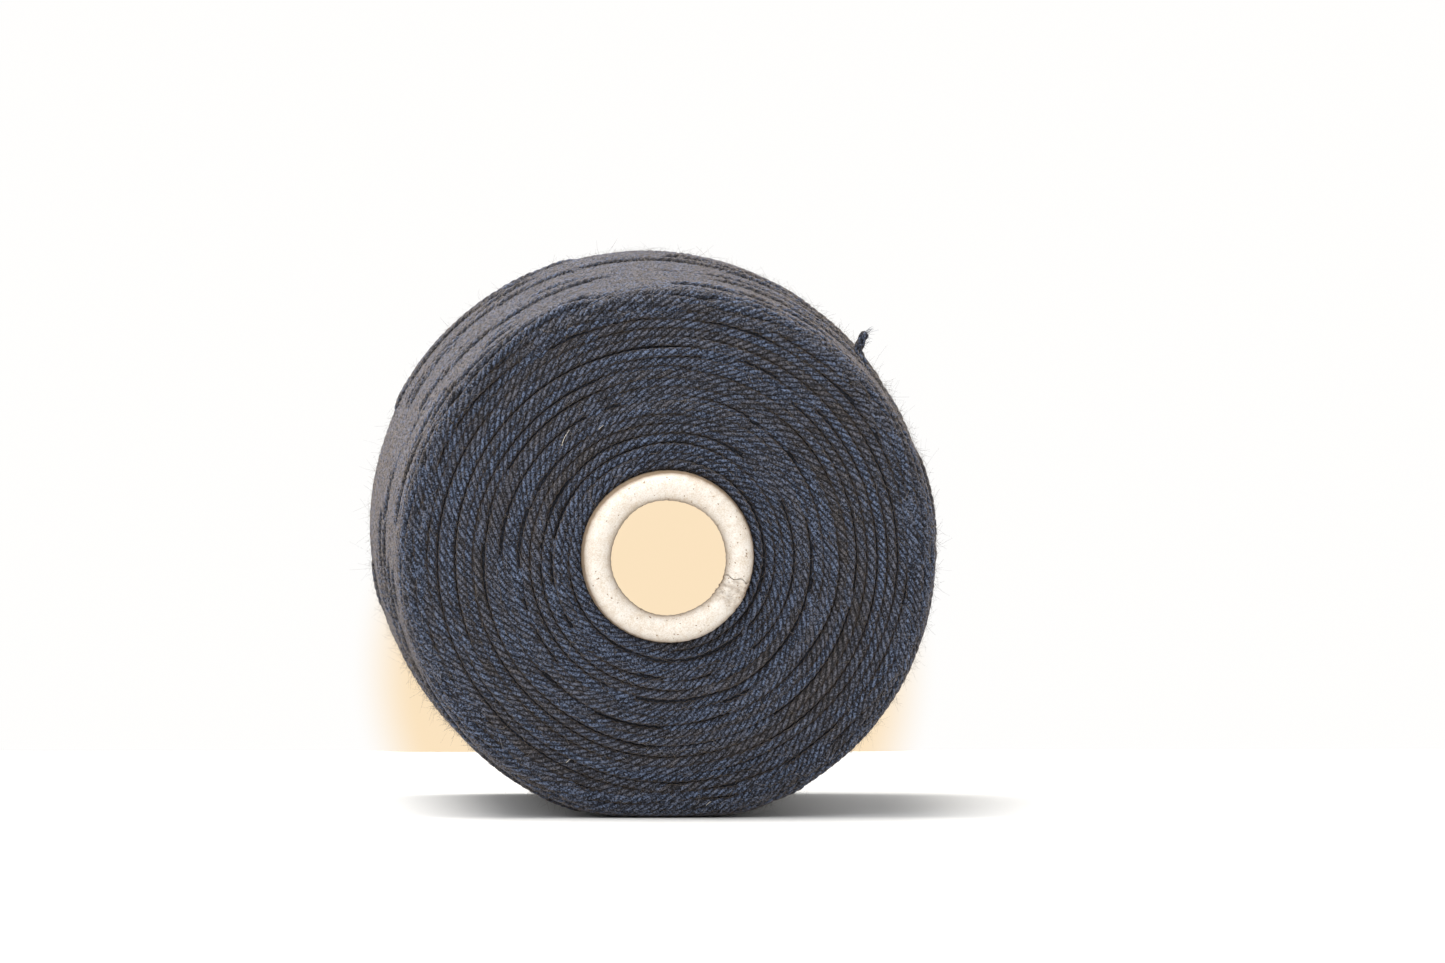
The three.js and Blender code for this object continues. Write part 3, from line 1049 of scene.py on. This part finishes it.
# %% The four plies
WRAP_ROUND, INNER_ROUND = 320, 120
seam_line = ply_line(0)
seam_half = 0.04 + 0.09 * np.abs(np.sin(np.arange(len(seam_line)) * 1.9)) * np.exp(-seam_line[:, 1] / 12)
for number, (name, node, slot, material) in enumerate(
    [
        ("cone_wrap", "core_outer_wrap", "cone_wrap", wrap_paper),
        ("cone_board_1", "core_board_ply_1", "cone_board", board_paper),
        ("cone_board_2", "core_board_ply_2", "cone_board", board_paper),
        ("cone_liner", "core_inner_liner", "cone_liner", liner_paper),
    ]
):
    outermost = number == 0
    around = WRAP_ROUND if outermost else INNER_ROUND
    made = ply(name, number, material, around, seam_half if outermost else None)
    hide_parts(node)

# %% [markdown]
# ## The first turns
# Winding starts with a few turns side by side on the bare base of the cone, left there so
# that the next cone can be tied on. They come out of the package and stop in a cut end. The
# same twisted yarn is carried round the cone's wall, so they match the package.

# %% First turns on the base
START_TURNS, START_PITCH = 2.4, 2.45
START_GAP = 0.25
START_STEPS = 400
TUCK_IN, TUCK_GROWTH = 14, 20
FIRST_TONE_STEP, END_TONE_STEP = 900, 4000
END_SIDES = 16
start_place = CONE_LENGTH - BASE_EXPOSED + FACE_DOME
share = np.linspace(-0.12, 1, START_STEPS)
turn = 2 * math.pi * START_TURNS * share
place = start_place + START_PITCH * START_TURNS * share - TUCK_IN * np.minimum(share, 0) ** 2 * TUCK_GROWTH
radius = np.array([wall_radius(p) for p in place]) + START_GAP + YARN_RADIUS
start_line = round_points(radius, place, turn)
start_out = round_points(1.0, 0.0, turn)
bundle = Bundle()
cut_end = ([0, 0.985, 1], [1, 1, 0.45])
twist_yarn(bundle, start_line, start_out, FIRST_TONE_STEP, END_SIDES, shrink=cut_end)
first_turns = piece_from_bundle("first_turns", bundle, wool)
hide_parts("yarn_start_turns")

# %% [markdown]
# ## The loose end
# The outer end of the yarn is cut off short, and stands up from the side like a stalk. Its
# fibres splay at the tip. A few listed points, joined by a soft curve, give its bend more
# surely than a simulation would, and the fibres are set at random round the tip.

# %% The stalk's route
END_PLACE, END_ANGLE = 62.0, math.radians(44.3)
END_RISES = [(0, 0), (0.4, 1.0), (0.8, 2.1), (1.2, 3.1), (2.1, 3.7)]
side_share = (END_PLACE - nose_crown) / (base_crown - nose_crown)
end_radius = NOSE_END_RADIUS + side_share * (BASE_END_RADIUS - NOSE_END_RADIUS)
root = np.array([end_radius * math.cos(END_ANGLE), END_PLACE, end_radius * math.sin(END_ANGLE)])
along_side = np.array([math.sin(END_ANGLE), 0.0, -math.cos(END_ANGLE)])
outwards = np.array([math.cos(END_ANGLE), 0.0, math.sin(END_ANGLE)])
buried = [root + along_side * 9 - outwards * 3.0, root + along_side * 5 - outwards * 1.0]
buried.append(root + along_side * 1.8 + outwards * 0.1)
stalk = [root + outwards * 0.7 + np.array([side, 0, rise]) for side, rise in END_RISES]


def smooth_route(points, steps):
    """A soft curve through given points."""
    points = np.array(points, float)
    at = np.linspace(0, len(points) - 1, steps)
    line = interp_points(at, np.arange(len(points)), points)
    return np.stack([smooth_along(line[:, k], steps // len(points) // 2 + 1) for k in range(3)], axis=1)


# %% The stalk and its fibres
ROUTE_STEPS = 90
route = smooth_route(buried + stalk, ROUTE_STEPS)
bundle = Bundle()
facing = np.broadcast_to(np.array([0.2, -1.0, 0.1]), route.shape)
splayed_end = ([0, 0.7, 0.96, 1], [1, 1.05, 1.0, 0.75])
end_line, _, end_tangent, _ = twist_yarn(
    bundle, route, facing, END_TONE_STEP, END_SIDES, radius=1.0, shrink=splayed_end
)
print("loose end", len(end_line), "steps long")


# %% Thin fibres
def thin_tubes(bundle, lines, radius, sides, tone):
    """Round closed tubes that taper to their tips. lines is (tubes, steps, 3)."""
    tangent = unit(np.gradient(lines, axis=1))
    one = unit(np.cross(tangent, np.array([0.31, 0.52, 0.79])))
    two = np.cross(tangent, one)
    turn = (np.arange(sides) / sides * 2 * math.pi)[:, None]
    taper = (np.linspace(1, 0.55, lines.shape[1]) * np.reshape(radius, (-1, 1)))[..., None, None]
    rings = lines[:, :, None] + taper * (np.cos(turn) * one[:, :, None] + np.sin(turn) * two[:, :, None])
    bundle.add(rings, np.broadcast_to(np.reshape(tone, (-1, 1, 1, 3)), rings.shape))


def curved(start, way, bend, length, steps):
    """Lines that set off along `way` and bend as they go."""
    t = np.linspace(0, 1, steps)[None, :, None]
    return start[:, None] + length[:, None] * (way[:, None] * t + bend[:, None] * t * t)


# %% Fibres at the tip
TIP_FIBRES = 90
TIP_FIBRE_RADIUS = 0.035
tip = end_line[-1 - rng.integers(0, 7, TIP_FIBRES)] + rng.normal(0, 0.33, (TIP_FIBRES, 3))
way = end_tangent[-1] + rng.normal(0, 0.40, (TIP_FIBRES, 3))
bend = rng.normal(0, 0.25, (TIP_FIBRES, 3))
length = rng.uniform(0.6, 1.7, (TIP_FIBRES, 1))
lines = curved(tip, way, bend, length, 5)
thin_tubes(bundle, lines, np.full(TIP_FIBRES, TIP_FIBRE_RADIUS), 4, (0.5, 0.4, 1.0))
loose_end = piece_from_bundle("loose_end", bundle, wool)
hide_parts("yarn_end")

# %% [markdown]
# ## Fuzz
# Wool yarn is never clean-edged: fibre ends stand out of it all over, and against a light
# ground they make a soft halo. Particle hair is not mesh, and here the meshes themselves are
# the result, so each fibre is a thin tube, rooted on a strand and curled at random.

# %% Loose fibres
FIBRE_PIECES, FIBRES_EACH = 4, 8000
FIBRE_STEPS, FIBRE_SIDES = 4, 3
roots, faces, runs = (np.concatenate(x) for x in (surface_points, surface_out, surface_run))
count = FIBRES_EACH
for number in range(1, FIBRE_PIECES + 1):
    k = rng.integers(0, len(roots), count)
    across = np.cross(faces[k], runs[k])
    way = runs[k] * rng.choice((-1, 1), (count, 1)) * rng.uniform(0.4, 1.1, (count, 1))
    way += faces[k] * rng.uniform(0.1, 0.8, (count, 1)) + across * rng.normal(0, 0.5, (count, 1))
    way = unit(way)
    start = roots[k] + faces[k] * YARN_RADIUS * 0.8 + across * rng.uniform(-0.7, 0.7, (count, 1))
    bend = rng.normal(0, 0.40, (count, 3)) - faces[k] * 0.2
    length = rng.gamma(2.0, 0.55, (count, 1)) + 0.5
    tone = np.stack([rng.uniform(0.3, 1, count), rng.uniform(0.2, 1, count), np.ones(count)], axis=1)
    bundle = Bundle()
    lines = curved(start, way, bend, length, FIBRE_STEPS)
    thin_tubes(bundle, lines, rng.uniform(0.014, 0.028, count), FIBRE_SIDES, tone)
    fibres = piece_from_bundle(f"loose_fibres_{number}", bundle, fuzz)

# %% [markdown]
# ## Lint
# A few pale bits of lint have caught on the nose face. Each is given by its distance from
# the axis, its angle and its length, and is one thicker fibre in a pale wool.

# %% Lint on the nose face
LINT = [(30.8, 133.7, 3.6), (29.1, 118.5, 1.2), (46.3, 244, 1.1), (50.9, 279, 1.1)]
LINT_RADIUS, LINT_PROUD = 0.055, 0.8
lint_wool = {"Navy": (0.30, 0.29, 0.26, 1), "Slate": (0.80, 0.78, 0.72, 1), "Brown": (0.72, 0.66, 0.56, 1)}
lint_paint, _ = grouped_material("pale lint", wool_tree, lint_wool, 0.8, 0.2, 0.02)
far, turn, length = np.array(LINT).T
turn = np.radians(turn)
face_place = np.interp(far, [corners[0, 0], corners[1, 0]], [corners[0, 1], corners[1, 1]])
middle = round_points(far, face_place - LINT_PROUD, turn)
way = np.stack([0.3 + 0.3 * np.cos(9 * turn), np.full(len(far), -0.1), np.full(len(far), 0.8)], axis=1)
way = unit(way)
bend = np.broadcast_to(np.array([0.25, -0.1, -0.1]), way.shape)
bundle = Bundle()
lines = curved(middle, way, bend, length[:, None], 9)
thin_tubes(bundle, lines, np.full(len(far), LINT_RADIUS), 6, (1, 1, 1))
lint = piece_from_bundle("lint", bundle, lint_paint)
